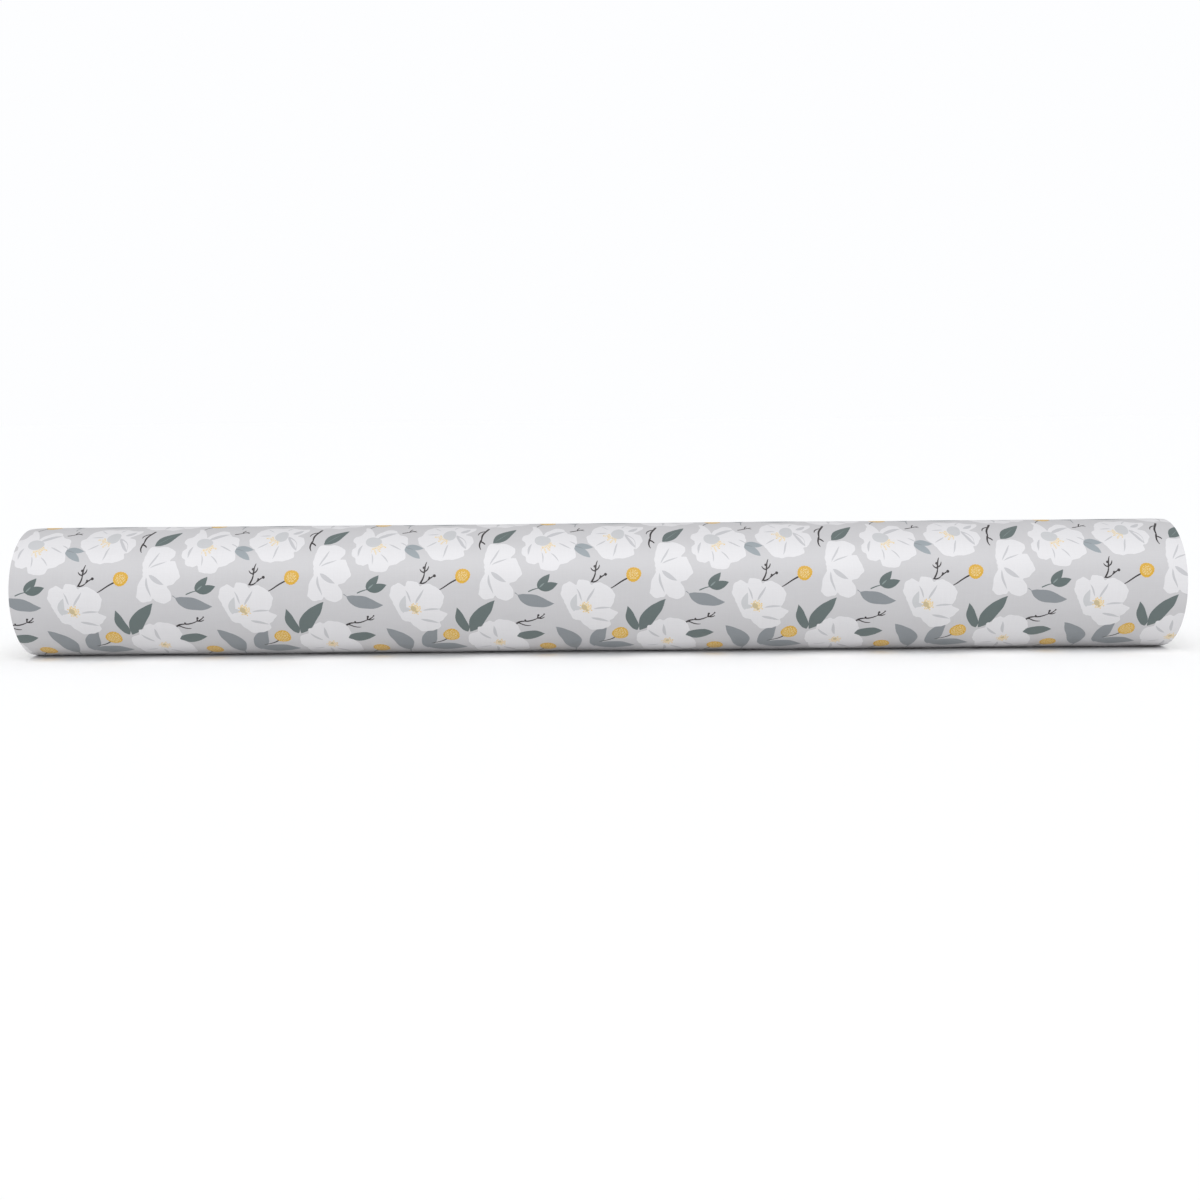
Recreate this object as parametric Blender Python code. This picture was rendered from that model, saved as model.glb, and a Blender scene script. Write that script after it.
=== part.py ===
"""A bolt of printed cloth wound on a paperboard tube, lying on its side.

The tube runs along X, the cloth's free end is at the back (+Y), and Z is up. The origin is on the
surface that the bolt lies on, under its middle. The cloth is one long sheet. It is divided here into
its inner turns, its outermost turn, and the free end, which unrolls along the surface as a chain of
narrow strips. The wound cloth is a polygon in section, and each strip is one flat side of it.
"""

from math import cos, radians, sin, tan

import bmesh
import bpy

# Cloth, in metres
CLOTH_WIDTH = 1.470
CLOTH_THICKNESS = 0.0006
ROLL_RADIUS = 0.083  # from the axis to a flat side of the wound cloth
SAG = 0.001  # how far the soft underside is pressed flat by the weight
SIDE_COUNT = 36
TAIL_STRIP_COUNT = 15

# Paperboard tube
TUBE_RECESS = 0.002  # from each edge of the cloth to the tube's end
TUBE_BORE_RADIUS = 0.0254
TUBE_WALL = 0.0046

# Tapes
TAPE_THICKNESS = 0.0003
START_TAPE_MARGIN = 0.033  # from each end of the tube
START_TAPE_FIRST_SIDE = 10  # of the tube's sides, counted from the bottom towards the back
START_TAPE_SIDE_COUNT = 5
END_TAPE_WIDTH = 0.024
END_TAPE_MARGIN = 0.135  # from the cloth's edge to the middle of the outer tapes
END_TAPE_REACH = 0.024  # beyond the cloth's free edge, onto the turn below
END_TAPE_HOLD = 0.012  # on the free end itself

CLEARANCE = 0.0003  # between pieces that lie on each other

SIDE_ANGLE = radians(360 / SIDE_COUNT)
LAP = CLOTH_THICKNESS + CLEARANCE  # how deep the turn under the free end lies
AXIS_HEIGHT = ROLL_RADIUS - SAG
TUBE_LENGTH = CLOTH_WIDTH - 2 * TUBE_RECESS
TUBE_RADIUS = TUBE_BORE_RADIUS + TUBE_WALL
CLOTH_BORE_RADIUS = TUBE_RADIUS + TAPE_THICKNESS + 2 * CLEARANCE
STRIP_END_GAP = CLEARANCE / 2 + CLOTH_THICKNESS * tan(SIDE_ANGLE / 2)


def clear_scene():
    for thing in list(bpy.data.objects):
        bpy.data.objects.remove(thing, do_unlink=True)


def material(name, colour, roughness, alpha=1.0):
    made = bpy.data.materials.new(name)
    made.use_nodes = True
    shader = made.node_tree.nodes["Principled BSDF"]
    shader.inputs["Base Color"].default_value = (*colour, 1.0)
    shader.inputs["Roughness"].default_value = roughness
    shader.inputs["Metallic"].default_value = 0.0
    shader.inputs["Alpha"].default_value = alpha
    return made


def at_angle(angle, radius):
    """The point (y, z) at this angle round the roll, from straight down towards the back."""
    return (radius * sin(angle), AXIS_HEIGHT - radius * cos(angle))


def corner(number, flat_radius):
    """The corner after side `number`, on a polygon whose sides are flat_radius from the axis."""
    angle = (number + 0.5) * SIDE_ANGLE
    return at_angle(angle, flat_radius / cos(SIDE_ANGLE / 2))


def flat_half_width(depth):
    """Half the width of the pressed underside, measured at this depth inside the cloth."""
    reach = (ROLL_RADIUS - depth) - (AXIS_HEIGHT - depth) * cos(SIDE_ANGLE)
    return reach / sin(SIDE_ANGLE)


def last_turn_line(depth):
    """The section of the last turn at this depth, from the free end's root round the front and over
    the top, under the free edge and down the back, to just above the root again."""
    points = [(flat_half_width(depth) - STRIP_END_GAP, depth), (-flat_half_width(depth), depth)]
    for number in range(2, SIDE_COUNT - TAIL_STRIP_COUNT):
        points.append(corner(-number, ROLL_RADIUS - depth))
    for number in range(TAIL_STRIP_COUNT, 0, -1):
        points.append(corner(number, ROLL_RADIUS - LAP - depth))
    points.append((flat_half_width(LAP + depth), LAP + depth))
    return points


def extruded(name, outlines, length, finish):
    """A solid with this section in the YZ plane, its middle at X = 0, from closed 2D outlines."""
    curve = bpy.data.curves.new(name, "CURVE")
    curve.dimensions = "2D"
    curve.fill_mode = "BOTH"
    curve.extrude = length / 2
    for outline in outlines:
        spline = curve.splines.new("POLY")
        spline.points.add(len(outline) - 1)
        for point, (y, z) in zip(spline.points, outline):
            point.co = (y, z, 0, 1)
        spline.use_cyclic_u = True
    curve.materials.append(finish)
    solid = bpy.data.objects.new(name, curve)
    # the outline's plane is turned to stand across X
    solid.rotation_euler = (radians(90), 0, radians(90))
    parts.objects.link(solid)
    return solid


def ring(flat_radius):
    return [corner(number, flat_radius) for number in range(SIDE_COUNT)]


def tube():
    return extruded("core_tube", [ring(TUBE_RADIUS), ring(TUBE_BORE_RADIUS)], TUBE_LENGTH, paperboard)


def start_tape():
    """The strip along the tube that holds the cloth's first turn."""
    last_side = START_TAPE_FIRST_SIDE + START_TAPE_SIDE_COUNT
    corners = range(START_TAPE_FIRST_SIDE, last_side + 1)
    inner = [corner(number, TUBE_RADIUS + CLEARANCE) for number in corners]
    outer = [corner(number, TUBE_RADIUS + CLEARANCE + TAPE_THICKNESS) for number in corners]
    length = TUBE_LENGTH - 2 * START_TAPE_MARGIN
    return extruded("start_tape", [outer + inner[::-1]], length, white_tape)


def inner_turns():
    """All the turns under the last one, as one solid round the tube."""
    depth = CLOTH_THICKNESS + CLEARANCE
    outline = last_turn_line(depth)
    # a step beside the end of the last turn, which lies above the free end's root
    step = flat_half_width(depth) - STRIP_END_GAP - CLEARANCE
    outline[0] = (step, depth)
    outline.append((step, LAP + depth))
    return extruded("cloth_inner_turns", [outline, ring(CLOTH_BORE_RADIUS)], CLOTH_WIDTH, cloth)


def outer_turn():
    outline = last_turn_line(0) + last_turn_line(CLOTH_THICKNESS)[::-1]
    return extruded("cloth_outer_turn", [outline], CLOTH_WIDTH, cloth)


def tail_strip(number, width, parent, place):
    """One strip of the free end. Its origin is on the line where it bends from the one before, its
    Y runs towards the free edge, and its Z points into the roll."""
    shape = bmesh.new()
    bmesh.ops.create_cube(shape, size=1)
    bmesh.ops.translate(shape, verts=shape.verts, vec=(0, 0.5, 0.5))
    long = width - 2 * STRIP_END_GAP
    bmesh.ops.scale(shape, verts=shape.verts, vec=(CLOTH_WIDTH, long, CLOTH_THICKNESS))
    bmesh.ops.translate(shape, verts=shape.verts, vec=(0, STRIP_END_GAP, 0))
    mesh = bpy.data.meshes.new(f"cloth_tail_{number:02}")
    shape.to_mesh(mesh)
    shape.free()
    mesh.materials.append(cloth)
    strip = bpy.data.objects.new(mesh.name, mesh)
    strip.parent = parent
    strip.location = place
    strip.rotation_euler.x = SIDE_ANGLE
    parts.objects.link(strip)
    return strip


def tail():
    """The free end as a chain: with every strip's rotation at 0 it lies flat on the surface."""
    full_width = 2 * ROLL_RADIUS * tan(SIDE_ANGLE / 2)
    root_y = flat_half_width(0)
    first_corner = corner(1, ROLL_RADIUS)
    first_width = (first_corner[0] - root_y) / cos(SIDE_ANGLE)
    strip = None
    place = (0, root_y, 0)
    for number in range(1, TAIL_STRIP_COUNT + 1):
        width = first_width if number == 1 else full_width
        strip = tail_strip(number, width, strip, place)
        place = (0, width, 0)


def end_tape(side, x):
    """A short tape across the free edge. It lies on the last strip, bridges the step beyond the edge
    and goes on over the turn below."""
    lines = []
    for height in (CLEARANCE, CLEARANCE + TAPE_THICKNESS):
        edge = corner(TAIL_STRIP_COUNT, ROLL_RADIUS + height)
        bend = corner(TAIL_STRIP_COUNT + 1, ROLL_RADIUS + height)
        bridge = 2 * (ROLL_RADIUS + height) * tan(SIDE_ANGLE / 2)
        start = along(edge, TAIL_STRIP_COUNT, -END_TAPE_HOLD)
        end = along(bend, TAIL_STRIP_COUNT + 2, END_TAPE_REACH - bridge)
        lines.append([start, edge, bend, end])
    strip = extruded(f"end_tape_{side}", [lines[1] + lines[0][::-1]], END_TAPE_WIDTH, clear_tape)
    strip.location.x = x
    return strip


def along(point, number, distance):
    """A point (y, z) moved in the direction of side `number`, towards the sides after it."""
    angle = number * SIDE_ANGLE
    return (point[0] + distance * cos(angle), point[1] + distance * sin(angle))


clear_scene()
parts = bpy.data.collections.new("fabric_bolt")
bpy.context.scene.collection.children.link(parts)
cloth = material("printed_cloth", (0.56, 0.56, 0.575), 0.85)
paperboard = material("paperboard", (0.40, 0.27, 0.16), 0.9)
white_tape = material("white_tape", (0.80, 0.79, 0.74), 0.5)
clear_tape = material("clear_tape", (0.90, 0.90, 0.88), 0.15, alpha=0.4)

outer_tape_x = CLOTH_WIDTH / 2 - END_TAPE_MARGIN
tube()
start_tape()
inner_turns()
outer_turn()
tail()
end_tape("left", -outer_tape_x)
end_tape("middle", 0)
end_tape("right", outer_tape_x)
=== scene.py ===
from math import atan2, cos, exp, log, pi, radians, sin

import bmesh
import bpy
from mathutils import Matrix, Vector


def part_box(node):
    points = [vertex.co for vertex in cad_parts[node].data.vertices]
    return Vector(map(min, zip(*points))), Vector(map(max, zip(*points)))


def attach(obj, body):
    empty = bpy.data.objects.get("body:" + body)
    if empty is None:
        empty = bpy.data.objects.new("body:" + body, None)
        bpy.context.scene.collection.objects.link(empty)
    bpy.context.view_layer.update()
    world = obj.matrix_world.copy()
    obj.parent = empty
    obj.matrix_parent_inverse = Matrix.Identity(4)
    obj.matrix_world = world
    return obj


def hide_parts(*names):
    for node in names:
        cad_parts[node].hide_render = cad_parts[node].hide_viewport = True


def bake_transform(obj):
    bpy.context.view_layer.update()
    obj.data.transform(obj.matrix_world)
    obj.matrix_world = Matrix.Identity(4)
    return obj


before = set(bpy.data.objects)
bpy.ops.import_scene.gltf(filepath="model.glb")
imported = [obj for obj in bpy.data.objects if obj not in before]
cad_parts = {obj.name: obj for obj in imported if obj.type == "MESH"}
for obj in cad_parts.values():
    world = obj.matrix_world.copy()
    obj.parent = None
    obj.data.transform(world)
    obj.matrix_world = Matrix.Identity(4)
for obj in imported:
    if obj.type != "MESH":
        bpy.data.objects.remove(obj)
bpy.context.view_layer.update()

# sizes are metres, apart from the print's own, which are millimetres on the cloth
mm = 1000  # to a metre
tubeLow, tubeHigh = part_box("core_tube")
clothLow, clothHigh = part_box("cloth_outer_turn")
axisHeight = (tubeLow.z + tubeHigh.z) / 2
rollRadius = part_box("cloth_tail_09")[1].y  # out to the free end's strip at the very back
clothWidth = clothHigh.x - clothLow.x
stripCount = sum(name.startswith("cloth_tail_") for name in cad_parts)
stripAngle = radians(10)

cloth = {
    "thickness": 0.00045,
    "proud": 0.0001,  # the round cloth over the flat sides of the solid
    "lap": 0.0009,  # how deep the turn under the free end lies
    "pitch": 0.00066,  # from one turn to the next, with the air between
    "rampAngle": radians(9),  # over which the last turn dips under the free edge
    "floorGap": 0.00005,
}
cameraTilt = radians(8)
printFront = -pi / 2 - cameraTilt  # the line along the roll where the print is centred
repeat = 213.3  # of the print, both ways
printAside = 10.0  # how far the print is moved along the roll


def say(text):
    print(f"[bolt] {text}")


def link(piece):
    bpy.context.scene.collection.objects.link(piece)
    return piece


def linear(red, green, blue):
    # a colour as a screen shows it, 0 to 255, made linear
    shares = [value / 255 for value in (red, green, blue)]
    return tuple(((s + 0.055) / 1.055) ** 2.4 if s > 0.04 else s / 12.92 for s in shares)


def smooth(share):
    return share * share * (3 - 2 * share)


# shader nodes in one call each: a value may be a number, a vector or another node's socket
def put(tree, socket, value):
    if isinstance(value, bpy.types.NodeSocket):
        tree.links.new(value, socket)
    else:
        socket.default_value = value


def math(tree, operation, *values):
    node = tree.nodes.new("ShaderNodeMath")
    node.operation = operation
    for socket, value in zip(node.inputs, values):
        put(tree, socket, value)
    return node.outputs[0]


def vectorMath(tree, operation, *values):
    node = tree.nodes.new("ShaderNodeVectorMath")
    node.operation = operation
    for socket, value in zip(node.inputs, values):
        put(tree, socket, value)
    return node.outputs["Value" if operation in ("LENGTH", "DOT_PRODUCT") else "Vector"]


def scaled(tree, vector, amount):
    node = vectorMath(tree, "SCALE", vector).node
    put(tree, node.inputs["Scale"], amount)
    return node.outputs["Vector"]


def mixColour(tree, factor, first, second, blend="MIX"):
    node = tree.nodes.new("ShaderNodeMix")
    node.data_type = "RGBA"
    node.blend_type = blend
    for socket, value in zip((node.inputs[0], node.inputs[6], node.inputs[7]), (factor, first, second)):
        if isinstance(value, tuple) and len(value) == 3:
            value = (*value, 1)
        put(tree, socket, value)
    return node.outputs[2]


def noise(tree, vector, scale, detail=2.0, roughness=0.5):
    node = tree.nodes.new("ShaderNodeTexNoise")
    put(tree, node.inputs["Vector"], vector)
    node.inputs["Scale"].default_value = scale
    node.inputs["Detail"].default_value = detail
    node.inputs["Roughness"].default_value = roughness
    return node.outputs["Fac"]


noiseRange = (0.3, 0.7)  # where most of a noise's values lie


def cellDistance(tree, vector, scale, scatter):
    node = tree.nodes.new("ShaderNodeTexVoronoi")
    node.voronoi_dimensions = "2D"
    put(tree, node.inputs["Vector"], vector)
    node.inputs["Scale"].default_value = scale
    node.inputs["Randomness"].default_value = scatter
    return node.outputs["Distance"]


def spread(tree, value, low, high, newLow=0.0, newHigh=1.0):
    node = tree.nodes.new("ShaderNodeMapRange")
    put(tree, node.inputs["Value"], value)
    for name, number in (("From Min", low), ("From Max", high), ("To Min", newLow), ("To Max", newHigh)):
        put(tree, node.inputs[name], number)
    return node.outputs["Result"]


def curveOf(tree, value, points):
    node = tree.nodes.new("ShaderNodeFloatCurve")
    put(tree, node.inputs["Value"], value)
    curve = node.mapping.curves[0]
    for x, y in points[1:-1]:
        curve.points.new(x, y)
    curve.points[0].location = points[0]
    curve.points[-1].location = points[-1]
    node.mapping.update()
    return node.outputs["Value"]


def newGroup(name, inputs, outputs):
    group = bpy.data.node_groups.new(name, "ShaderNodeTree")
    for side, sockets in (("INPUT", inputs), ("OUTPUT", outputs)):
        for label, kind in sockets:
            group.interface.new_socket(label, in_out=side, socket_type=f"NodeSocket{kind}")
    return group, group.nodes.new("NodeGroupInput").outputs, group.nodes.new("NodeGroupOutput").inputs


def use(tree, group, **values):
    node = tree.nodes.new("ShaderNodeGroup")
    node.node_tree = group
    for name, value in values.items():
        put(tree, node.inputs[name], value)
    return node.outputs


# the shapes of the print are groups: the first finds a place, and the others each give masks
def makeAround():
    # radius and angle round a centre, on the nearest copy of the repeat
    tree, given, out = newGroup("aroundCentre", [("Place", "Vector"), ("Centre", "Vector")],
                                [("Offset", "Vector"), ("Radius", "Float"), ("Angle", "Float")])
    away = vectorMath(tree, "SUBTRACT", given["Place"], given["Centre"])
    half = (repeat / 2, repeat / 2, 1000)  # the cloth doesn't repeat in its depth
    near = vectorMath(tree, "WRAP", away, half, tuple(-side for side in half))
    right = vectorMath(tree, "DOT_PRODUCT", near, (1, 0, 0))
    up = vectorMath(tree, "DOT_PRODUCT", near, (0, 1, 0))
    put(tree, out["Offset"], near)
    put(tree, out["Radius"], vectorMath(tree, "LENGTH", near))
    put(tree, out["Angle"], math(tree, "ARCTAN2", up, right))
    return tree


def makeBlade(name, profile):
    # a leaf, crease or twig: Along is its way over its length, Aside its left over its half width
    sockets = [("Place", "Vector"), ("Start", "Vector"), ("Along", "Vector"), ("Aside", "Vector"),
               ("Bow", "Float")]
    tree, given, out = newGroup(name, sockets, [("Mask", "Float")])
    offset = use(tree, around, Place=given["Place"], Centre=given["Start"])["Offset"]
    along = vectorMath(tree, "DOT_PRODUCT", offset, given["Along"])
    arch = math(tree, "MULTIPLY", along, math(tree, "SUBTRACT", 1, along))
    rise = math(tree, "MULTIPLY", arch, given["Bow"])
    aside = math(tree, "SUBTRACT", vectorMath(tree, "DOT_PRODUCT", offset, given["Aside"]), rise)
    half = curveOf(tree, along, profile)
    put(tree, out["Mask"], math(tree, "LESS_THAN", math(tree, "ABSOLUTE", aside), half))
    return tree


rayDrawing = {
    "meanLength": 0.78,  # of the longest
    "unevenness": 0.2,  # of the longest
    "step": 2.6,  # radians of sine from one ray's length to the next
    "halfWidth": 0.34,
    "tipSquare": 0.62,  # the square of a tip's radius
    "speckScale": 0.6,
    "speck": 0.27,  # of a cell
}


def makeStamens():
    # fine rays of uneven length, each with a dot at its tip, and specks between them
    sockets = [("Place", "Vector"), ("Centre", "Vector"), ("Inner", "Float"), ("Outer", "Float"),
               ("Aim", "Float"), ("HalfSpan", "Float"), ("Rays", "Float")]
    tree, given, out = newGroup("stamens", sockets, [("Rays", "Float"), ("Tips", "Float")])
    polar = use(tree, around, Place=given["Place"], Centre=given["Centre"])
    offAim = math(tree, "WRAP", math(tree, "SUBTRACT", polar["Angle"], given["Aim"]), pi, -pi)
    aside = math(tree, "ABSOLUTE", offAim)
    within = math(tree, "MULTIPLY", math(tree, "GREATER_THAN", polar["Radius"], given["Inner"]),
                  math(tree, "LESS_THAN", aside, given["HalfSpan"]))
    turns = math(tree, "MULTIPLY", math(tree, "MULTIPLY", polar["Angle"], 1 / (2 * pi)), given["Rays"])
    number = math(tree, "FLOOR", turns)
    wave = math(tree, "SINE", math(tree, "MULTIPLY", number, rayDrawing["step"]))
    uneven = math(tree, "MULTIPLY_ADD", wave, rayDrawing["unevenness"], rayDrawing["meanLength"])
    reach = math(tree, "MULTIPLY", given["Outer"], uneven)
    off = math(tree, "SUBTRACT", math(tree, "SUBTRACT", turns, number), 0.5)
    arc = math(tree, "DIVIDE", math(tree, "MULTIPLY", polar["Radius"], 2 * pi), given["Rays"])
    across = math(tree, "ABSOLUTE", math(tree, "MULTIPLY", off, arc))
    line = math(tree, "MULTIPLY", math(tree, "LESS_THAN", across, rayDrawing["halfWidth"]),
                math(tree, "LESS_THAN", polar["Radius"], reach))
    short = math(tree, "SUBTRACT", polar["Radius"], reach)
    gap = math(tree, "ADD", math(tree, "MULTIPLY", short, short), math(tree, "MULTIPLY", across, across))
    tip = math(tree, "LESS_THAN", gap, rayDrawing["tipSquare"])
    cells = cellDistance(tree, polar["Offset"], rayDrawing["speckScale"], 1.0)
    speck = math(tree, "MULTIPLY", math(tree, "LESS_THAN", cells, rayDrawing["speck"]),
                 math(tree, "LESS_THAN", polar["Radius"], reach))
    put(tree, out["Rays"], math(tree, "MULTIPLY", within, line))
    put(tree, out["Tips"], math(tree, "MULTIPLY", within, math(tree, "MAXIMUM", tip, speck)))
    return tree


around = makeAround()
leafProfile = [(0, 0), (0.06, 0.34), (0.2, 0.78), (0.42, 1), (0.62, 0.9), (0.82, 0.54), (0.94, 0.2), (1, 0)]
twigProfile = [(0, 0), (0.03, 0.9), (0.5, 0.85), (0.9, 0.55), (1, 0)]
leafShape = makeBlade("leafShape", leafProfile)
twigShape = makeBlade("twigShape", twigProfile)
stamenShape = makeStamens()

# the inks of the print
inks = {
    "ground": linear(192, 191, 193),
    "petal": linear(215, 214, 216),
    "petalShade": linear(191, 192, 194),
    "crease": linear(187, 187, 190),
    "darkLeaf": linear(90, 102, 101),
    "blueLeaf": linear(130, 135, 139),
    # a lighter copy of the blue-grey leaf ink: a painted highlight on the leaf pair it colours
    "paleLeaf": linear(143, 151, 156),
    "twig": linear(40, 35, 37),
    "mustard": linear(208, 163, 50),
    "mustardDeep": linear(190, 141, 36),
    "mustardDot": linear(219, 200, 152),
    "stamen": linear(224, 205, 160),
    "stamenTip": linear(223, 190, 120),
    "stamenHeart": linear(190, 174, 138),
    "leafVein": linear(127, 139, 138),
}

# each outline is (direction in degrees, reach in mm) from the flower's centre, and each crease is
# (start, end, half width, bow); all places are mm on the cloth
flowers = {
    "sideOn": {
        "centre": (-147.5, 23.7),
        "outline": [(7, 39), (20, 37), (27, 31), (33, 40), (40, 43.5), (53, 43), (63, 41), (72, 36.5),
                    (87, 35.5), (97, 24), (110, 15), (129, 6), (190, 4), (235, 7), (245, 23), (250, 35),
                    (263, 38.5), (279, 38.5), (284, 35.5), (289, 40), (301, 47), (310, 48), (318, 42),
                    (325, 33), (335, 39), (351, 42.5)],
        "creases": [((-144.6, 28.5), (-133, 51), 1.2, 0.5), ((-142.7, 28), (-123, 37.5), 1.0, 0.5),
                    ((-144.3, 18.9), (-124.2, 6.8), 2.9, -1.1),
                    ((-147.4, 16.1), (-141.2, -9.2), 1.4, -0.8)],
    },
    "spiky": {
        "centre": (-77.3, 58.3),
        "outline": [(4, 40.5), (23, 42), (36, 36), (45, 36.5), (54, 39), (68, 37), (80, 28), (94, 18),
                    (101, 27), (106, 42), (110, 45), (118, 34), (133, 28), (149, 31), (163, 31),
                    (172, 24.5), (182, 23.5), (195, 29), (209, 32.5), (217, 30), (230, 33.5),
                    (245, 32.5), (257, 28.5), (264, 36), (279, 38), (292, 40.5), (305, 36.5),
                    (320, 40.5), (332, 43.5), (350, 38.5)],
        "creases": [((-93.4, 59.5), (-98.2, 42), 1.5, -0.6), ((-69.6, 45), (-58.5, 31.5), 0.8, 0.5),
                    ((-60, 60), (-43, 51), 1.0, 0.5), ((-46.5, 64), (-36, 56), 0.7, 0.5),
                    ((-75.4, 72), (-51.5, 83.5), 3.0, 0.5), ((-81, 46), (-78.5, 30), 0.8, 0.5)],
    },
    "wide": {
        "centre": (10.2, 69.8),
        "outline": [(5, 34), (18, 27), (29, 43), (34, 45), (41, 39), (52, 36), (65, 35), (84, 30),
                    (98, 32.5), (108, 33.5), (128, 33), (140, 33.5), (147, 32.5), (157, 30.5), (165, 30),
                    (178, 35), (191, 34.5), (205, 31), (214, 29.5), (225, 31), (246, 36), (265, 35),
                    (275, 34), (293, 36.5), (311, 37), (321, 32), (327, 35.5), (346, 36.5)],
        "creases": [((-0.4, 64.5), (-12.5, 55), 1.0, 0.5), ((14.6, 59.5), (8, 39), 1.1, 0.5),
                    ((2, 80), (-12.5, 78.6), 1.0, 0.5), ((24.6, 76.5), (37.8, 51.5), 4.0, 0.5),
                    ((20, 92), (27, 100), 0.9, 0.5), ((3, 89), (-5, 98), 0.8, 0.5),
                    ((28.5, 83), (40.5, 92), 3.2, -1)],
    },
    "cup": {
        "centre": (-26, -27),
        "outline": [(14, 37), (25, 40.5), (42, 39.5), (55, 37.5), (69, 33.5), (75, 30.5), (83, 34.5),
                    (102, 36), (111, 31), (121, 39.5), (135, 40), (149, 36.5), (161, 28), (174, 24),
                    (190, 22), (203, 20.5), (225, 21), (250, 19), (266, 24.5), (286, 33.5), (305, 38),
                    (322, 39.5), (330, 35), (340, 38.5), (350, 40.5), (359, 30)],
        "creases": [((-30.2, -18.5), (-37.5, -2.5), 1.0, -0.4), ((-24.4, -19.5), (-14.5, -1.5), 1.5, 0.4),
                    ((-16.7, -28.3), (6, -26.3), 1.2, -0.2), ((-18.7, -40), (4, -46), 1.7, -0.6)],
    },
    "low": {
        "centre": (77.5, -82),
        "outline": [(9, 32), (27, 25.5), (39, 35), (57, 40), (72, 41.5), (89, 40), (99, 36.5),
                    (105, 39.5), (114, 40), (124, 37), (133, 38.5), (142, 34), (159, 41), (176, 39.6),
                    (187, 37), (196, 34), (217, 38), (240, 36), (262, 31), (285, 34), (305, 33),
                    (318, 39), (332, 41), (345, 38), (353, 37)],
        "creases": [((67, -74), (53, -60.5), 1.7, 0.5), ((75.2, -71.5), (71, -51.5), 2.0, 0.4),
                    ((67, -91), (51, -94), 1.1, 0.5), ((73.7, -93), (73.7, -112), 1.9, 0.5),
                    ((81.3, -94), (97, -106), 2.0, 0)],
    },
}
# centre, half width and half height of the pale eyes
eyes = [((-80.2, 65.2), 10.2, 9), ((15.6, 77.6), 8.3, 11.2)]
# inner shades and pale lenses, as creases
innerShades = [((-41, -31.5), (-37.4, -9.5), 4.3, 1.2), ((-43.5, -27.3), (-31, -27.8), 2.9, 0)]
lenses = [((27.4, 72.5), (37.2, 55), 1.6, 1.2)]
# centre, inner and outer radius, direction and half span in degrees, and the rays of a full circle
stamens = [((-80.2, 65.2), 9.8, 20.5, -55, 38, 40), ((15.6, 77.6), 9.8, 20, 219, 38, 40),
           ((-25.5, -26.5), 0, 7.8, 0, 180, 19), ((77.8, -83), 0, 7.8, 0, 180, 17)]
hearts = [((-28, -26.4), 3.5), ((-24.6, -30.2), 1.6), ((77, -81.6), 2.2)]  # darker spots among them
# from base to tip, half width, and how far it bows to its left
leaves = {
    "darkLeaf": [((-142.4, 60.6), (-114.3, 89.6), 7.3, 0), ((-85.6, -2.4), (-70.9, 16.6), 5.2, -0.4),
                 ((-85.6, -2), (-60, 3.6), 5.5, -0.2), ((38.9, -60.5), (26.2, -25.1), 6.3, 1.4),
                 ((41.8, -61), (74.5, -16.9), 9.0, 3.6), ((-114, -70), (-77.4, -65), 7.8, 0.2)],
    "blueLeaf": [((-110.8, -10.5), (-64.8, -21.4), 7.6, -2.4), ((-39.3, -102.5), (-64.3, -54.2), 11.4, -7.4),
                 ((-15.8, -95), (-0.5, -52), 9.5, 3.1), ((-14.8, -93), (36, -92.7), 9.6, 1)],
    # the top pair of blue-grey leaves, lighter than the others: a painted highlight
    "paleLeaf": [((-39.2, 55.2), (-15.6, 53.4), 4.5, 0.4), ((-39.4, 54.6), (-20, 38.2), 5.4, 0)],
}
stems = {"darkLeaf": [((-98, -5.5), (-84.5, -2), 0.8, 0.3)],
         "blueLeaf": [((-114.6, -7.4), (-109.5, -11), 0.5, 0), ((-39, -101), (-39, -116), 0.8, 0),
                      ((-38.6, 54.8), (-28.4, 51.2), 0.7, 0)]}
veins = [((-83.6, -1.2), (-76.4, 5.4), 0.8, 0), ((-140, 63), (-121, 82.5), 0.25, 0)]
# centre, radius, where the stem ends, the stem's bow, and how much of the ball is dotted
pompoms = [((34, 14.9), 9.3, (4, -2.6), 0.8, 0.68), ((17.5, -66.2), 10.4, (-9.5, -83.6), 2.4, 0.84),
           ((-74.8, -95), 10.4, (-88, -116), -1, 0.84)]
# from, to, half width, bow
twigs = [((64.2, 94), (55.6, 66), 1.5, -1.5), ((55.8, 68), (56.6, 50.4), 1.2, -2.0),
         ((61.2, 86.8), (51.8, 76), 1.1, -2.8), ((54.8, 64.2), (61.2, 59), 1.2, 0.6),
         ((-18.3, 5.4), (-14, 19.5), 1.2, -1.2), ((-14.1, 18), (-10.4, 33), 1.1, 0.3),
         ((-17.2, 6), (-8.3, 9.4), 1.0, -1.4), ((-8.8, 9), (-1.4, 14.9), 1.0, 0.2),
         ((-13.8, 19.4), (-19.2, 24.4), 0.95, 1.2), ((-13.2, 20.3), (-7.8, 27.2), 0.95, -1.2),
         ((-8.2, 9.4), (-7.2, 12.6), 0.8, 0), ((-114.8, -50.2), (-101, -44.4), 1.25, 1.5),
         ((-102.4, -44.4), (-85, -41), 1.0, -1.2), ((-110.2, -47.2), (-95.2, -51.2), 0.9, -1.2),
         ((-85.4, -41.8), (-85.2, -36), 1.05, 0.3), ((-85.4, -41.4), (-77.6, -34.6), 0.85, -0.8),
         ((-85, -41), (-77, -38.6), 0.85, -1.2), ((-45.8, 83.8), (-28.2, 90), 0.9, -1.0),
         ((-36.5, 86.6), (-34.2, 92.6), 0.9, 0.6), ((-34, 88), (-27.6, 85.8), 0.9, 0.4)]
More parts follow.
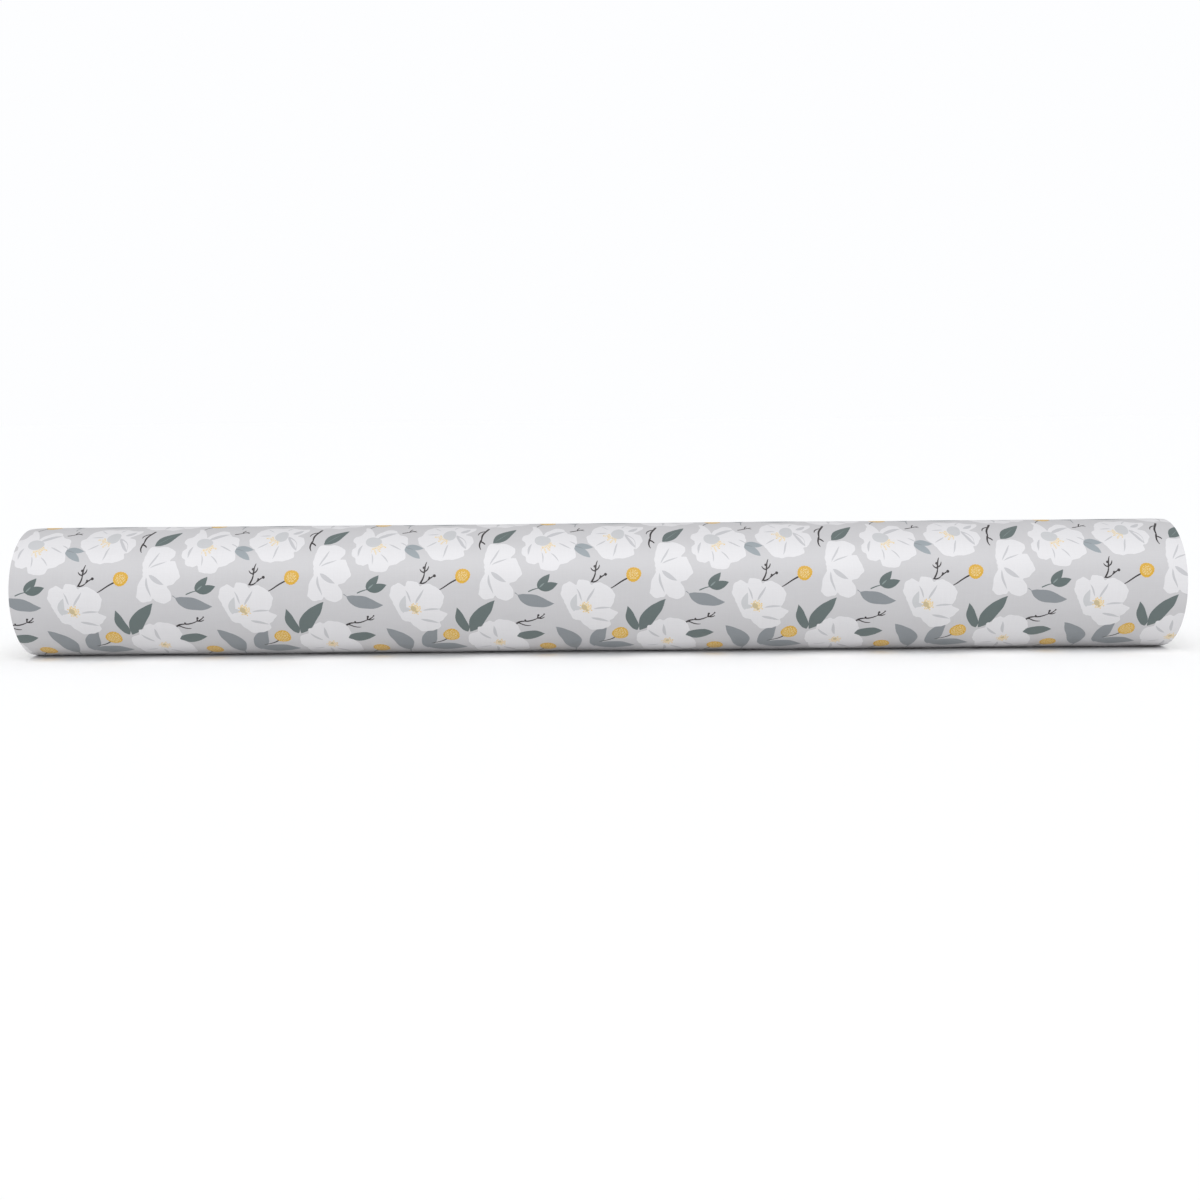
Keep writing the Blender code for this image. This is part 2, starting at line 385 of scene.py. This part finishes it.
buds = [((-1.2, 14.9), 1.9), ((-13.8, 25.5), 1.8), ((-14.1, 19.6), 1.4), ((-7.3, 12.4), 1.1),
        ((-85.2, -37), 1.5), ((-84.8, -41), 1.1), ((-78, -35), 1.0), ((-101.4, -43.2), 1.3),
        ((-109.8, -47.6), 1.2), ((-34.2, 92.4), 1.1)]

petalEdge = {
    "unit": 50,  # the reach that an outline's curve calls 1
    "steps": 180,
    "straight": 0.4,  # how straight it runs between its points
    "coarse": 0.006,  # scallops, as shares of the reach
    "fine": 0.004,
}


def outline(points):
    # the reach in every direction, with finely scalloped petal tips
    ring = sorted(points)
    ring = [(ring[-1][0] - 360, ring[-1][1])] + ring + [(ring[0][0] + 360, ring[0][1])]
    steps = petalEdge["steps"]
    straight = petalEdge["straight"]
    found = []
    for step in range(steps + 1):
        angle = (360 * step / steps - 180) % 360
        before = max(point for point in ring if point[0] <= angle)
        after = min(point for point in ring if point[0] > angle)
        share = (angle - before[0]) / (after[0] - before[0])
        share = straight * share + (1 - straight) * smooth(share)
        reach = before[1] + (after[1] - before[1]) * share
        turn = radians(angle)
        scallop = petalEdge["coarse"] * sin(19 * turn + 2 * sin(3 * turn))
        scallop += petalEdge["fine"] * sin(31 * turn + len(points))
        found.append((step / steps, reach * (1 + scallop) / petalEdge["unit"]))
    return found


# waves in a repeat, and how far they move what is drawn
handSway = [((0, 9, 0), (0.5, 0, 0)), ((8, 0, 0), (0, 0.45, 0))]
ball = {
    "stem": 1.05,  # half width
    "tufts": 17,
    "tuftHeight": 0.22,
    "dotScale": 0.5,
    "scatter": 0.5,
    "gap": 0.62,  # of a cell, past which the mustard is deeper
    "dot": 0.32,  # of a cell
}


def makePrint():
    # each mask is made just before its mix, which keeps the finished shader small
    tree, given, out = newGroup("floralPrint", [("Cloth", "Vector")], [("Colour", "Color")])
    drawn = scaled(tree, given["Cloth"], repeat)
    turned = vectorMath(tree, "MULTIPLY", given["Cloth"], (2 * pi, 2 * pi, 0))
    for waves, amount in handSway:
        wave = math(tree, "SINE", vectorMath(tree, "DOT_PRODUCT", turned, waves))
        drawn = vectorMath(tree, "ADD", drawn, scaled(tree, amount, wave))
    state = {"colour": (*inks["ground"], 1)}

    def paint(mask, ink):
        state["colour"] = mixColour(tree, mask, state["colour"], inks[ink])

    def near(centre):
        return use(tree, around, Place=drawn, Centre=(*centre, 0))

    def disc(centre, radius):
        return math(tree, "LESS_THAN", near(centre)["Radius"], radius)

    def blade(shape, start, end, halfWidth, bow):
        way = Vector((end[0] - start[0], end[1] - start[1], 0))
        left = Vector((-way.y, way.x, 0)).normalized()
        found = use(tree, shape, Place=drawn, Start=(*start, 0), Along=way / way.length_squared,
                    Aside=left / halfWidth, Bow=4.0 * bow / halfWidth)
        return found["Mask"]

    def drawPompom(centre, radius, foot, bow, dotted):
        paint(blade(twigShape, centre, foot, ball["stem"], bow), "twig")
        found = near(centre)
        fuzz = math(tree, "SINE", math(tree, "MULTIPLY", found["Angle"], ball["tufts"]))
        edge = math(tree, "MULTIPLY_ADD", fuzz, ball["tuftHeight"], radius)
        mask = math(tree, "LESS_THAN", found["Radius"], edge)
        paint(mask, "mustard")
        dots = cellDistance(tree, found["Offset"], ball["dotScale"], ball["scatter"])
        paint(math(tree, "MULTIPLY", mask, math(tree, "GREATER_THAN", dots, ball["gap"])), "mustardDeep")
        inner = math(tree, "LESS_THAN", found["Radius"], radius * dotted)
        paint(math(tree, "MULTIPLY", inner, math(tree, "LESS_THAN", dots, ball["dot"])), "mustardDot")

    def drawFlower(flower):
        found = near(flower["centre"])
        share = math(tree, "MULTIPLY_ADD", found["Angle"], 1 / (2 * pi), 0.5)
        reach = math(tree, "MULTIPLY", curveOf(tree, share, outline(flower["outline"])), petalEdge["unit"])
        paint(math(tree, "LESS_THAN", found["Radius"], reach), "petal")
        for crease in flower["creases"]:
            paint(blade(leafShape, *crease), "crease")

    for ink in ("paleLeaf", "blueLeaf", "darkLeaf"):
        for leaf in leaves[ink]:
            paint(blade(leafShape, *leaf), ink)
        for stem in stems.get(ink, []):
            paint(blade(twigShape, *stem), ink)
    for vein in veins:
        paint(blade(leafShape, *vein), "leafVein")
    for twig in twigs:
        paint(blade(twigShape, *twig), "twig")
    for bud in buds:
        paint(disc(*bud), "twig")
    for pompom in pompoms:
        drawPompom(*pompom)
    for flower in flowers.values():
        drawFlower(flower)
    for shade in innerShades:
        paint(blade(leafShape, *shade), "petalShade")
    for lens in lenses:
        paint(blade(leafShape, *lens), "petal")
    for centre, halfWide, halfHigh in eyes:
        squeezed = vectorMath(tree, "MULTIPLY", near(centre)["Offset"], (1 / halfWide, 1 / halfHigh, 1))
        paint(math(tree, "LESS_THAN", vectorMath(tree, "LENGTH", squeezed), 1), "petalShade")
    for centre, inner, outer, aim, halfSpan, rays in stamens:
        found = use(tree, stamenShape, Place=drawn, Centre=(*centre, 0), Inner=inner, Outer=outer,
                    Aim=radians(aim), HalfSpan=radians(halfSpan) + 0.01, Rays=rays)  # with no gap in a circle
        paint(found["Rays"], "stamen")
        paint(found["Tips"], "stamenTip")
    for heart in hearts:
        paint(disc(*heart), "stamenHeart")
    put(tree, out["Colour"], state["colour"])
    return tree


floralPrint = makePrint()
say("print drawn")

yarn = {
    "spacing": 0.8,  # from one thread to the next
    "slub": (1.6, 0.03),  # the scale of its noise across and along a thread
    "crowns": 0.6,
    "clouds": 0.012,
}


def makeWeave():
    # plain weave: the threads' crowns, slubs along both threads, and a slow cloudiness
    tree, given, out = newGroup("plainWeave", [("Cloth", "Vector"), ("Threads", "Float")],
                                [("Height", "Float"), ("Slub", "Float"), ("Cloud", "Float")])
    place = scaled(tree, given["Cloth"], repeat)
    waves = []
    for way in ((1, 0, 0), (0, 1, 0)):
        side = vectorMath(tree, "DOT_PRODUCT", place, way)
        waves.append(math(tree, "SINE", math(tree, "MULTIPLY", side, given["Threads"])))
    crowns = math(tree, "MULTIPLY_ADD", math(tree, "MULTIPLY", *waves), 0.5, 0.5)
    across, along = yarn["slub"]
    warpwise = vectorMath(tree, "MULTIPLY", place, (across, along, 1))
    weftwise = vectorMath(tree, "MULTIPLY", place, (along, across, 1))
    slubs = math(tree, "ADD", noise(tree, warpwise, 1.0, 1.0), noise(tree, weftwise, 1.0, 1.0))
    slub = math(tree, "MULTIPLY", slubs, 0.5)
    put(tree, out["Height"], math(tree, "ADD", math(tree, "MULTIPLY", crowns, yarn["crowns"]), slub))
    put(tree, out["Slub"], slub)
    put(tree, out["Cloud"], noise(tree, place, yarn["clouds"], 3.0))
    return tree


plainWeave = makeWeave()


def newMaterial(name, **settings):
    material = bpy.data.materials.new(name)
    material.use_nodes = True
    shader = material.node_tree.nodes["Principled BSDF"]
    for label, value in settings.items():
        shader.inputs[label.replace("_", " ")].default_value = value
    return material, material.node_tree, shader


def bump(tree, shader, height, distance):
    node = tree.nodes.new("ShaderNodeBump")
    node.inputs["Distance"].default_value = distance
    node.inputs["Strength"].default_value = 1.0
    put(tree, node.inputs["Height"], height)
    put(tree, shader.inputs["Normal"], node.outputs["Normal"])


def objectPlace(tree):
    return tree.nodes.new("ShaderNodeTexCoord").outputs["Object"]


def clothPlace(tree):
    node = tree.nodes.new("ShaderNodeUVMap")
    node.uv_map = "clothPlace"
    return node.outputs["UV"]


def weaveAt(tree, place):
    return use(tree, plainWeave, Cloth=place, Threads=2 * pi / yarn["spacing"])


def finishWeave(tree, shader, weave, look):
    put(tree, shader.inputs["Roughness"], spread(tree, weave["Slub"], *noiseRange, *look["rough"]))
    bump(tree, shader, weave["Height"], look["bump"])


printedLook = {"rough": (0.38, 0.5), "bump": 0.00004, "tone": (0.965, 1.02), "cloud": (0.985, 1.01)}
backLook = {
    "rough": (0.72, 0.86),
    "bump": 0.00006,
    "bare": (linear(222, 221, 216), linear(236, 235, 231)),
    "ghost": 0.2,  # how much of the print shows through
}
edgeLook = {
    "rough": (0.78, 0.92),
    "bump": 0.00008,
    # weave heights mapped from darkest to palest: painted shade in the hollows between threads, with the
    # slubs' own uneven tone
    "threads": (0.5, 1.2),  # heights, from the darkest to the palest
    "shades": (linear(176, 175, 173), linear(226, 225, 222)),
}


def makePrintedCloth():
    material, tree, shader = newMaterial("printedCloth", Sheen_Weight=0.1, Sheen_Roughness=0.4,
                                         Specular_IOR_Level=0.5)
    place = clothPlace(tree)
    ink = use(tree, floralPrint, Cloth=place)
    weave = weaveAt(tree, place)
    tone = spread(tree, weave["Slub"], *noiseRange, *printedLook["tone"])
    cloud = spread(tree, weave["Cloud"], *noiseRange, *printedLook["cloud"])
    shade = math(tree, "MULTIPLY", tone, cloud)
    grey = tree.nodes.new("ShaderNodeCombineXYZ")
    for socket in grey.inputs:
        put(tree, socket, shade)
    toned = mixColour(tree, 1.0, ink["Colour"], grey.outputs[0], "MULTIPLY")
    put(tree, shader.inputs["Base Color"], toned)
    finishWeave(tree, shader, weave, printedLook)
    return material


def makeClothBack():
    # the print shows faintly through the unprinted side
    material, tree, shader = newMaterial("clothBack", Sheen_Weight=0.15, Sheen_Roughness=0.5,
                                         Specular_IOR_Level=0.3)
    place = clothPlace(tree)
    ink = use(tree, floralPrint, Cloth=place)
    weave = weaveAt(tree, place)
    bare = mixColour(tree, spread(tree, weave["Slub"], *noiseRange), *backLook["bare"])
    put(tree, shader.inputs["Base Color"], mixColour(tree, backLook["ghost"], bare, ink["Colour"]))
    finishWeave(tree, shader, weave, backLook)
    return material


def makeClothEdge():
    # the cut and woven edges that show at the ends of the roll
    material, tree, shader = newMaterial("clothEdge", Sheen_Weight=0.2, Specular_IOR_Level=0.25)
    weave = weaveAt(tree, clothPlace(tree))
    # darker where the weave lies lower: painted shade between the threads, mixed with the slubs' uneven tone
    threads = spread(tree, weave["Height"], *edgeLook["threads"])
    put(tree, shader.inputs["Base Color"], mixColour(tree, threads, *edgeLook["shades"]))
    finishWeave(tree, shader, weave, edgeLook)
    return material


clothMaterials = (makePrintedCloth(), makeClothBack(), makeClothEdge())
say("cloth materials made")


# cloth is cut flat, printed, and then wound
def cutCloth(low, high, columns, rows, thickness, width=clothWidth):
    # a flat slab: X across the bolt, Y up the print, its printed side at Z 0
    flat = bmesh.new()
    bmesh.ops.create_grid(flat, x_segments=columns, y_segments=rows, size=0.5)
    bmesh.ops.scale(flat, vec=(width, high - low, 1), verts=flat.verts)
    bmesh.ops.translate(flat, vec=(0, (low + high) / 2, 0), verts=flat.verts)
    under = bmesh.ops.duplicate(flat, geom=flat.verts[:] + flat.edges[:] + flat.faces[:])["geom"]
    underVerts = [item for item in under if isinstance(item, bmesh.types.BMVert)]
    underFaces = [item for item in under if isinstance(item, bmesh.types.BMFace)]
    bmesh.ops.translate(flat, vec=(0, 0, -thickness), verts=underVerts)
    bmesh.ops.reverse_faces(flat, faces=underFaces)
    bmesh.ops.bridge_loops(flat, edges=[edge for edge in flat.edges if edge.is_boundary])
    bmesh.ops.recalc_face_normals(flat, faces=flat.faces[:])
    return flat


def sideOf(face):
    # the printed side, the back or an edge, numbered as in clothMaterials
    up = face.normal.z
    return 0 if up > 0.5 else 1 if up < -0.5 else 2


def printCloth(flat, patchOf, length=1.0, looks=(0, 1, 2)):
    # where each face lies on the cloth, and its own patch for a flattened picture of the piece
    place = flat.loops.layers.uv.new("clothPlace")
    patch = flat.loops.layers.uv.new("OFBake")
    flat.normal_update()
    for face in flat.faces:
        side = sideOf(face)
        face.material_index = looks[side]
        middle = face.calc_center_median()
        for loop in face.loops:
            x, y, z = loop.vert.co
            loop[place].uv = ((x * mm - printAside) / repeat, y * length * mm / repeat)
            loop[patch].uv = patchOf(loop.vert.co, side, middle)


def foldedPatch(low, high, bands):
    # the printed side above, folded into bands, then the back, and the edges in a sliver at the foot
    def patchOf(spot, side, middle):
        across, along = spot.x / clothWidth + 0.5, (spot.y - low) / (high - low)
        if side < 2:
            band = int((middle.x / clothWidth + 0.5) * bands)
            foot, height = ((0.22, 0.77), (0.03, 0.17))[side]
            return 0.01 + 0.98 * (across * bands - band), foot + height * (band + 0.92 * along) / bands
        if abs(middle.x) > clothWidth * 0.499:
            return 0.01 + 0.98 * along, 0.004 + 0.003 * (middle.x > 0) + 0.002 * across
        return 0.01 + 0.98 * across, 0.012 + 0.002 * along
    return patchOf


def coilPatch(turns):
    # both ends' edges, a row for each turn, and the hidden sides in a sliver at the foot
    def patchOf(spot, side, middle):
        if side < 2:
            return 0.01 + 0.1 * (spot.x / clothWidth + 0.5), 0.01 + 0.02 * spot.y
        band = int(middle.y * turns)
        row = (band + 0.4 * (spot.z < -0.0001)) / turns
        return 0.02 + 0.96 * (spot.y * turns - band), 0.05 + 0.42 * row + 0.46 * (middle.x > 0)
    return patchOf


press = {
    "fromLift": 0.8,  # the cosine of the turn past which the underside may be pressed
    "soft": 0.0004,  # how softly the flat runs into the round
    "core": 0.031,  # the radius that stays round
}
swells = {
    "long": 0.00016,
    "middling": 0.00014,
    "short": 0.00007,
    "softEnd": 0.0007,  # how far the roll narrows at its ends
    "endReach": 0.012,
}


def pressedRadius(turn, depth):
    # the wound cloth is round, but for its underside, which its weight presses flat
    outer = rollRadius + cloth["proud"]
    away = outer - depth
    lift = cos(turn)
    if lift < press["fromLift"]:
        return away
    flat = (axisHeight - cloth["proud"]) / lift - depth
    pressed = away - press["soft"] * log(1 + exp((away - flat) / press["soft"]))
    share = max(0.0, 1 - depth / (outer - press["core"]))
    return away + (pressed - away) * share


def unevenness(x, turn):
    # slow swells in how tightly the cloth is wound, and its softer ends
    swell = swells["long"] * sin(9 * x + 2 * sin(turn)) + swells["middling"] * sin(23 * x + 3 * turn)
    swell += swells["short"] * sin(61 * x - 2 * turn)
    end = clothWidth / 2 - abs(x)
    return swell - swells["softEnd"] * max(0.0, 1 - end / swells["endReach"]) ** 2


def woundPlace(x, turn, depth, height=0.0):
    radius = pressedRadius(turn, depth) + height + unevenness(x, turn)
    lowest = cloth["floorGap"] + max(0.0, -height)  # nothing reaches through the floor
    return Vector((x, radius * sin(turn), max(lowest, axisHeight - radius * cos(turn))))


def turnAt(y):
    return printFront - y / rollRadius


def yAt(turn):
    return (printFront - turn) * rollRadius


def wind(flat, depthOf, aside=0.0, lift=0.0):
    for vert in flat.verts:
        x, y, height = vert.co
        turn = turnAt(y)
        vert.co = woundPlace(x + aside, turn, depthOf(turn), height + lift)


def finish(name, shape, materials):
    mesh = bpy.data.meshes.new(name)
    shape.to_mesh(mesh)
    shape.free()
    for material in materials:
        mesh.materials.append(material)
    mesh.shade_smooth()
    mesh.set_sharp_from_angle(angle=radians(35))
    return link(bpy.data.objects.new(name, mesh))


# turns are angles round the roll, from straight down towards the back
rootTurn = radians(5.5)
freeEdge = radians(155)
edgeTurn = freeEdge - 2 * pi  # the free edge's place, as the last turn counts it
outerTurn = {"columns": 98, "rows": 240, "bands": 2}


def lastTurnDepth(turn):
    # flush round the front, and dipping in under the free edge at the back
    share = min(1.0, max(0.0, (edgeTurn + cloth["rampAngle"] - turn) / cloth["rampAngle"]))
    return cloth["lap"] * smooth(share)


def makeOuterTurn():
    low, high = yAt(rootTurn), yAt(rootTurn - 2 * pi)
    flat = cutCloth(low, high, outerTurn["columns"], outerTurn["rows"], cloth["thickness"])
    printCloth(flat, foldedPatch(low, high, outerTurn["bands"]))
    wind(flat, lastTurnDepth)
    piece = finish("cloth_last_turn", flat, clothMaterials)
    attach(piece, "roll")
    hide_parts("cloth_outer_turn")
    return piece, high - low


winding = {
    "coreRadius": 0.0309,
    "steps": 64,  # round each turn
    "firstGap": 0.35,  # under the last turn, of a pitch
    "driftFrom": 0.4,  # of the width, past which the edges drift from turn to turn
    "drift": 0.00045,
    "tuckedIn": 1.2,  # drifts that the edges lie inside the last turn's
}


def makeInnerTurns():
    # every turn under the last one, as one long sheet
    start = cloth["lap"] + winding["firstGap"] * cloth["pitch"]
    outerRadius = rollRadius + cloth["proud"] - start
    turns = int((outerRadius - cloth["thickness"] - winding["coreRadius"]) / cloth["pitch"])
    length = 2 * pi * turns * (outerRadius - turns * cloth["pitch"] / 2)
    flat = cutCloth(0.0, 1.0, 2, turns * winding["steps"], cloth["thickness"])
    printCloth(flat, coilPatch(turns), length, (1, 1, 2))
    for vert in flat.verts:
        x, y, height = vert.co
        wound = y * turns
        side = 1 if x > 0 else -1
        if abs(x) > clothWidth * winding["driftFrom"]:
            drift = sin(0.9 * wound + side) + 0.6 * sin(2.3 * wound + 2 * side) + 0.5 * sin(6.1 * wound)
            x += side * winding["drift"] * (drift - winding["tuckedIn"])
        vert.co = woundPlace(x, rootTurn - 2 * pi * (1 + wound), start + cloth["pitch"] * wound, height)
    piece = finish("cloth_inner_winding", flat, clothMaterials)
    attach(piece, "roll")
    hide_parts("cloth_inner_turns")
    return piece, length


lastTurn, lastTurnLength = makeOuterTurn()
innerWinding, innerLength = makeInnerTurns()
say(f"wound cloth made, {innerLength + lastTurnLength:.1f} m of it")

freeEnd = {"columns": 98, "rows": 8, "lastRows": 14, "bands": 7}


def stripMiddle(number):
    # the angle of the middle of a strip of the free end, and of the cloth before the first strip
    if number == 0:
        return rootTurn
    if number == 1:
        low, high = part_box("cloth_tail_01")
        return atan2((low.y + high.y) / 2, axisHeight - (low.z + high.z) / 2)
    return number * stripAngle


def makeTail():
    made = []
    for number in range(1, stripCount + 1):
        first = stripMiddle(number - 1)
        bendEnd = stripMiddle(number)
        last = freeEdge if number == stripCount else bendEnd
        rows = freeEnd["rows"] if number < stripCount else freeEnd["lastRows"]
        low, high = yAt(last), yAt(first)
        flat = cutCloth(low, high, freeEnd["columns"], rows, cloth["thickness"])
        printCloth(flat, foldedPatch(low, high, freeEnd["bands"]))
        wind(flat, lambda turn: 0.0)
        piece = finish(f"cloth_free_end_{number:02}", flat, clothMaterials)
        start = woundPlace(0, first, 0.0)
        end = woundPlace(0, bendEnd, 0.0)
        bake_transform(piece)
        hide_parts(f"cloth_tail_{number:02}")
        made.append(piece)
    return made


tail = makeTail()
say("free end made")

tube = {
    "bore": 0.0254,
    "wall": 0.0046,
    "chamfer": 0.0005,
    "steps": 96,
    "length": tubeHigh.x - tubeLow.x,
    "plyPitch": 0.11,  # along the tube for each turn of its spiral seam
    "seam": 0.012,  # of the pitch
    "layer": 0.00055,  # of the board, as its ends show it
    "endFace": 0.0004,  # how deep the ends' lines reach
    "bump": 0.00012,
}


def makePaperboard():
    material, tree, shader = newMaterial("paperboard", Specular_IOR_Level=0.25)
    centred = vectorMath(tree, "SUBTRACT", objectPlace(tree), (0, 0, axisHeight))
    split = tree.nodes.new("ShaderNodeSeparateXYZ")
    put(tree, split.inputs[0], centred)
    angle = math(tree, "ARCTAN2", split.outputs["Y"], split.outputs["Z"])
    turned = math(tree, "MULTIPLY", angle, 1 / (2 * pi))
    along = math(tree, "MULTIPLY", split.outputs["X"], 1 / tube["plyPitch"])
    ply = math(tree, "FRACT", math(tree, "ADD", along, turned))
    seam = math(tree, "LESS_THAN", ply, tube["seam"])
    fibre = noise(tree, vectorMath(tree, "MULTIPLY", centred, (300, 900, 900)), 1.0, 4.0, 0.7)
    blotch = noise(tree, centred, 60.0, 3.0)
    kraft = mixColour(tree, fibre, linear(142, 112, 80), linear(186, 156, 118))
    kraft = mixColour(tree, spread(tree, blotch, 0.35, 0.65, 0, 0.35), kraft, linear(160, 128, 94))
    across = vectorMath(tree, "LENGTH", vectorMath(tree, "MULTIPLY", centred, (0, 1, 1)))
    layers = math(tree, "SINE", math(tree, "MULTIPLY", across, 2 * pi / tube["layer"]))
    fromMiddle = math(tree, "ABSOLUTE", split.outputs["X"])
    edge = math(tree, "GREATER_THAN", fromMiddle, tube["length"] / 2 - tube["endFace"])
    lined = math(tree, "MULTIPLY", edge, math(tree, "MULTIPLY_ADD", layers, 0.5, 0.5))
    kraft = mixColour(tree, math(tree, "MULTIPLY", lined, 0.5), kraft, linear(108, 82, 58))
    kraft = mixColour(tree, math(tree, "MULTIPLY", seam, 0.75), kraft, linear(92, 70, 50))
    put(tree, shader.inputs["Base Color"], kraft)
    put(tree, shader.inputs["Roughness"], spread(tree, fibre, *noiseRange, 0.78, 0.92))
    bump(tree, shader, math(tree, "SUBTRACT", fibre, math(tree, "MULTIPLY", seam, 2)), tube["bump"])
    return material


def makeTube():
    half = tube["length"] / 2
    inner, outer, bevel = tube["bore"], tube["bore"] + tube["wall"], tube["chamfer"]
    corners = [(-half, inner + bevel), (-half + bevel, inner), (half - bevel, inner), (half, inner + bevel),
               (half, outer - bevel), (half - bevel, outer), (-half + bevel, outer), (-half, outer - bevel)]
    shape = bmesh.new()
    verts = [shape.verts.new((x, 0, axisHeight + radius)) for x, radius in corners]
    for first, second in zip(verts, verts[1:] + verts[:1]):
        shape.edges.new((first, second))
    bmesh.ops.spin(shape, geom=shape.verts[:] + shape.edges[:], cent=(0, 0, axisHeight), axis=(1, 0, 0),
                   angle=2 * pi, steps=tube["steps"], use_merge=True)
    bmesh.ops.recalc_face_normals(shape, faces=shape.faces[:])
    piece = finish("core_tube_wound", shape, (makePaperboard(),))
    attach(piece, "roll")
    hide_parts("core_tube")


makeTube()

startTape = {
    "shades": (linear(214, 204, 176), linear(236, 229, 206)),
    "crepe": (900, 200, 200),
    "rough": (0.6, 0.8),
    "bump": 0.00008,
}


def makePaperTape():
    material, tree, shader = newMaterial("paperTape", Specular_IOR_Level=0.3)
    crepe = noise(tree, vectorMath(tree, "MULTIPLY", objectPlace(tree), startTape["crepe"]), 1.0, 3.0)
    put(tree, shader.inputs["Base Color"], mixColour(tree, crepe, *startTape["shades"]))
    put(tree, shader.inputs["Roughness"], spread(tree, crepe, *noiseRange, *startTape["rough"]))
    bump(tree, shader, crepe, startTape["bump"])
    return material


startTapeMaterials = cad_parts["start_tape"].data.materials
startTapeMaterials.clear()
startTapeMaterials.append(makePaperTape())

endTape = {
    "hold": 0.012,  # on the free end
    "reach": 0.024,  # past its edge
    "step": 0.003,  # over which it comes down onto the turn below
    "thickness": 0.00008,
    "lift": 0.00022,
    "columns": 8,
    "rows": 36,
    "shades": (linear(226, 224, 214), linear(240, 239, 232)),
    "streaks": (40, 700, 700),
    "frost": 900.0,
    "rough": (0.08, 0.2),
    "opacity": (0.2, 0.34),
    "bump": 0.00002,
}


def makeClearTape():
    material, tree, shader = newMaterial("clearTape", Specular_IOR_Level=0.7)
    place = objectPlace(tree)
    streaks = noise(tree, vectorMath(tree, "MULTIPLY", place, endTape["streaks"]), 1.0, 2.0)
    frost = noise(tree, place, endTape["frost"], 2.0)
    put(tree, shader.inputs["Base Color"], mixColour(tree, streaks, *endTape["shades"]))
    put(tree, shader.inputs["Roughness"], spread(tree, streaks, *noiseRange, *endTape["rough"]))
    put(tree, shader.inputs["Alpha"], spread(tree, frost, 0.35, 0.75, *endTape["opacity"]))
    bump(tree, shader, math(tree, "MULTIPLY_ADD", frost, 0.3, streaks), endTape["bump"])
    return material


def tapeDepth(turn):
    # on the free end up to its edge, then down the step onto the turn below
    beyond = (turn - freeEdge) * rollRadius
    share = min(1.0, max(0.0, beyond / endTape["step"]))
    return lastTurnDepth(turn - 2 * pi) * smooth(share)


def makeEndTapes():
    clearTape = makeClearTape()
    low = yAt(freeEdge + endTape["reach"] / rollRadius)
    high = yAt(freeEdge - endTape["hold"] / rollRadius)
    for side in ("left", "middle", "right"):
        left, right = [corner.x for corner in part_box(f"end_tape_{side}")]
        flat = cutCloth(low, high, endTape["columns"], endTape["rows"], endTape["thickness"], right - left)
        wind(flat, tapeDepth, (left + right) / 2, endTape["lift"])
        piece = finish(f"clear_tape_{side}", flat, (clearTape,))
        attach(piece, f"tail_{stripCount:02}")
        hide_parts(f"end_tape_{side}")


makeEndTapes()
say("tube and tapes made")

studio = {
    "floorRadius": 60.0,
    "floor": linear(252, 252, 252),
    "key": 1.76,
    "height": radians(55),
    "softness": radians(50),
    "tint": (0.985, 0.99, 1.0),
    "lit": 0.59,  # how strongly the surroundings light the roll
    "seen": 1.0,  # and how bright they look
}


def makeFloor():
    shape = bmesh.new()
    bmesh.ops.create_circle(shape, cap_ends=True, segments=96, radius=studio["floorRadius"])
    material, tree, shader = newMaterial("paleFloor", Roughness=0.9, Specular_IOR_Level=0.1,
                                         Base_Color=(*studio["floor"], 1))
    floor = finish("floor", shape, (material,))


def makeKeyLight():
    # a very soft, far light from the front
    light = bpy.data.lights.new("keyLight", "SUN")
    light.energy = studio["key"]
    light.angle = studio["softness"]
    light.color = studio["tint"]
    lamp = link(bpy.data.objects.new("keyLight", light))
    lamp.rotation_euler = (pi / 2 - studio["height"], 0, 0)


def makeSurroundings():
    world = bpy.data.worlds.new("studioWorld")
    world.use_nodes = True
    tree = world.node_tree
    tree.nodes["Background"].inputs["Color"].default_value = (*studio["tint"], 1)
    rays = tree.nodes.new("ShaderNodeLightPath").outputs["Is Camera Ray"]
    strength = spread(tree, rays, 0, 1, studio["lit"], studio["seen"])
    put(tree, tree.nodes["Background"].inputs["Strength"], strength)
    bpy.context.scene.world = world
    bpy.context.scene.view_settings.view_transform = "Standard"


cameraPlan = {"distance": 1.746, "aside": 0.002, "lens": 40.0, "below": 0.0172, "lean": radians(-0.5)}


def makeCamera():
    camera = bpy.data.cameras.new("camera")
    camera.lens = cameraPlan["lens"]
    camera.sensor_width = 36.0
    holder = link(bpy.data.objects.new("camera", camera))
    away = Vector((0, -cos(cameraTilt), sin(cameraTilt))) * cameraPlan["distance"]
    aim = Vector((cameraPlan["aside"], 0, axisHeight - cameraPlan["below"]))
    turn = Matrix.Rotation(pi / 2 - cameraTilt, 4, "X") @ Matrix.Rotation(cameraPlan["lean"], 4, "Z")
    holder.matrix_world = Matrix.Translation(aim + away) @ turn
    bpy.context.scene.camera = holder


makeFloor()
makeKeyLight()
makeSurroundings()
makeCamera()
say("studio made")
